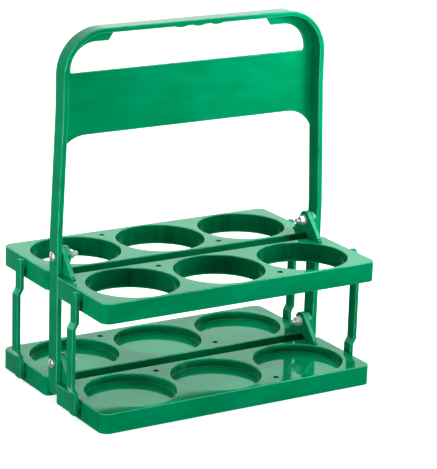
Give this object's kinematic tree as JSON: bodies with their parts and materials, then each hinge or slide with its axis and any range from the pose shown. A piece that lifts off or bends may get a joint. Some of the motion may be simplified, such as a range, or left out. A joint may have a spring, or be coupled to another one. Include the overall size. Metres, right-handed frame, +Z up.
{
  "type": "bottle carrier",
  "caption": "Folding bottle carrier: tall handle with a cross panel, hinged upper and lower trays with round bottle places, and posts that couple the trays.",
  "frame": {"origin": "on the floor, at the middle of the footprint, midway between the front and back trays", "axes": "+X along the carrier to its right end, +Y from the front trays to the back trays, +Z up to the grip"},
  "size_m": [0.327, 0.212, 0.365],
  "materials": {
    "green_plastic": "glossy moulded polypropylene with soft reflections and fine scuffs",
    "zinc_steel": "bright zinc plating"
  },
  "bodies": {
    "handle": {"handle_frame": "green_plastic", "upper_left_screw": "zinc_steel", "upper_right_screw": "zinc_steel", "lower_left_screw": "zinc_steel", "lower_right_screw": "zinc_steel", "upper_left_washer": "zinc_steel", "upper_right_washer": "zinc_steel", "lower_left_washer": "zinc_steel", "lower_right_washer": "zinc_steel", "upper_left_nut": "zinc_steel", "upper_right_nut": "zinc_steel", "lower_left_nut": "zinc_steel", "lower_right_nut": "zinc_steel"},
    "front_upper_tray": {"front_upper_tray": "green_plastic"},
    "front_lower_tray": {"front_lower_tray": "green_plastic"},
    "back_upper_tray": {"back_upper_tray": "green_plastic"},
    "back_lower_tray": {"back_lower_tray": "green_plastic"},
    "front_left_post": {"front_left_post": "green_plastic"},
    "front_right_post": {"front_right_post": "green_plastic"},
    "back_left_post": {"back_left_post": "green_plastic"},
    "back_right_post": {"back_right_post": "green_plastic"}
  },
  "joints": [
    {"name": "front_fold", "type": "hinge", "parent": "handle", "child": "front_lower_tray", "pos_m": [0, 0, 0.037], "axis": [-1, 0, 0], "range_deg": [0, 90]},
    {"name": "front_upper_fold", "type": "hinge", "parent": "handle", "child": "front_upper_tray", "pos_m": [0, 0, 0.1455], "axis": [-1, 0, 0], "range_deg": [0, 90]},
    {"name": "front_left_post_turn", "type": "hinge", "parent": "front_upper_tray", "child": "front_left_post", "pos_m": [-0.153, -0.0575, 0.122], "axis": [-1, 0, 0], "range_deg": [-90, 0]},
    {"name": "front_right_post_turn", "type": "hinge", "parent": "front_upper_tray", "child": "front_right_post", "pos_m": [0.153, -0.0575, 0.122], "axis": [-1, 0, 0], "range_deg": [-90, 0]},
    {"name": "back_fold", "type": "hinge", "parent": "handle", "child": "back_lower_tray", "pos_m": [0, 0, 0.037], "axis": [1, 0, 0], "range_deg": [0, 90]},
    {"name": "back_upper_fold", "type": "hinge", "parent": "handle", "child": "back_upper_tray", "pos_m": [0, 0, 0.1455], "axis": [1, 0, 0], "range_deg": [0, 90]},
    {"name": "back_left_post_turn", "type": "hinge", "parent": "back_upper_tray", "child": "back_left_post", "pos_m": [-0.153, 0.0575, 0.122], "axis": [1, 0, 0], "range_deg": [-90, 0]},
    {"name": "back_right_post_turn", "type": "hinge", "parent": "back_upper_tray", "child": "back_right_post", "pos_m": [0.153, 0.0575, 0.122], "axis": [1, 0, 0], "range_deg": [-90, 0]}
  ],
  "couplings": [
    {"joint": "front_upper_fold", "follows": "front_fold", "ratio": 1},
    {"joint": "front_left_post_turn", "follows": "front_fold", "ratio": -1},
    {"joint": "front_right_post_turn", "follows": "front_fold", "ratio": -1},
    {"joint": "back_upper_fold", "follows": "back_fold", "ratio": 1},
    {"joint": "back_left_post_turn", "follows": "back_fold", "ratio": -1},
    {"joint": "back_right_post_turn", "follows": "back_fold", "ratio": -1}
  ]
}
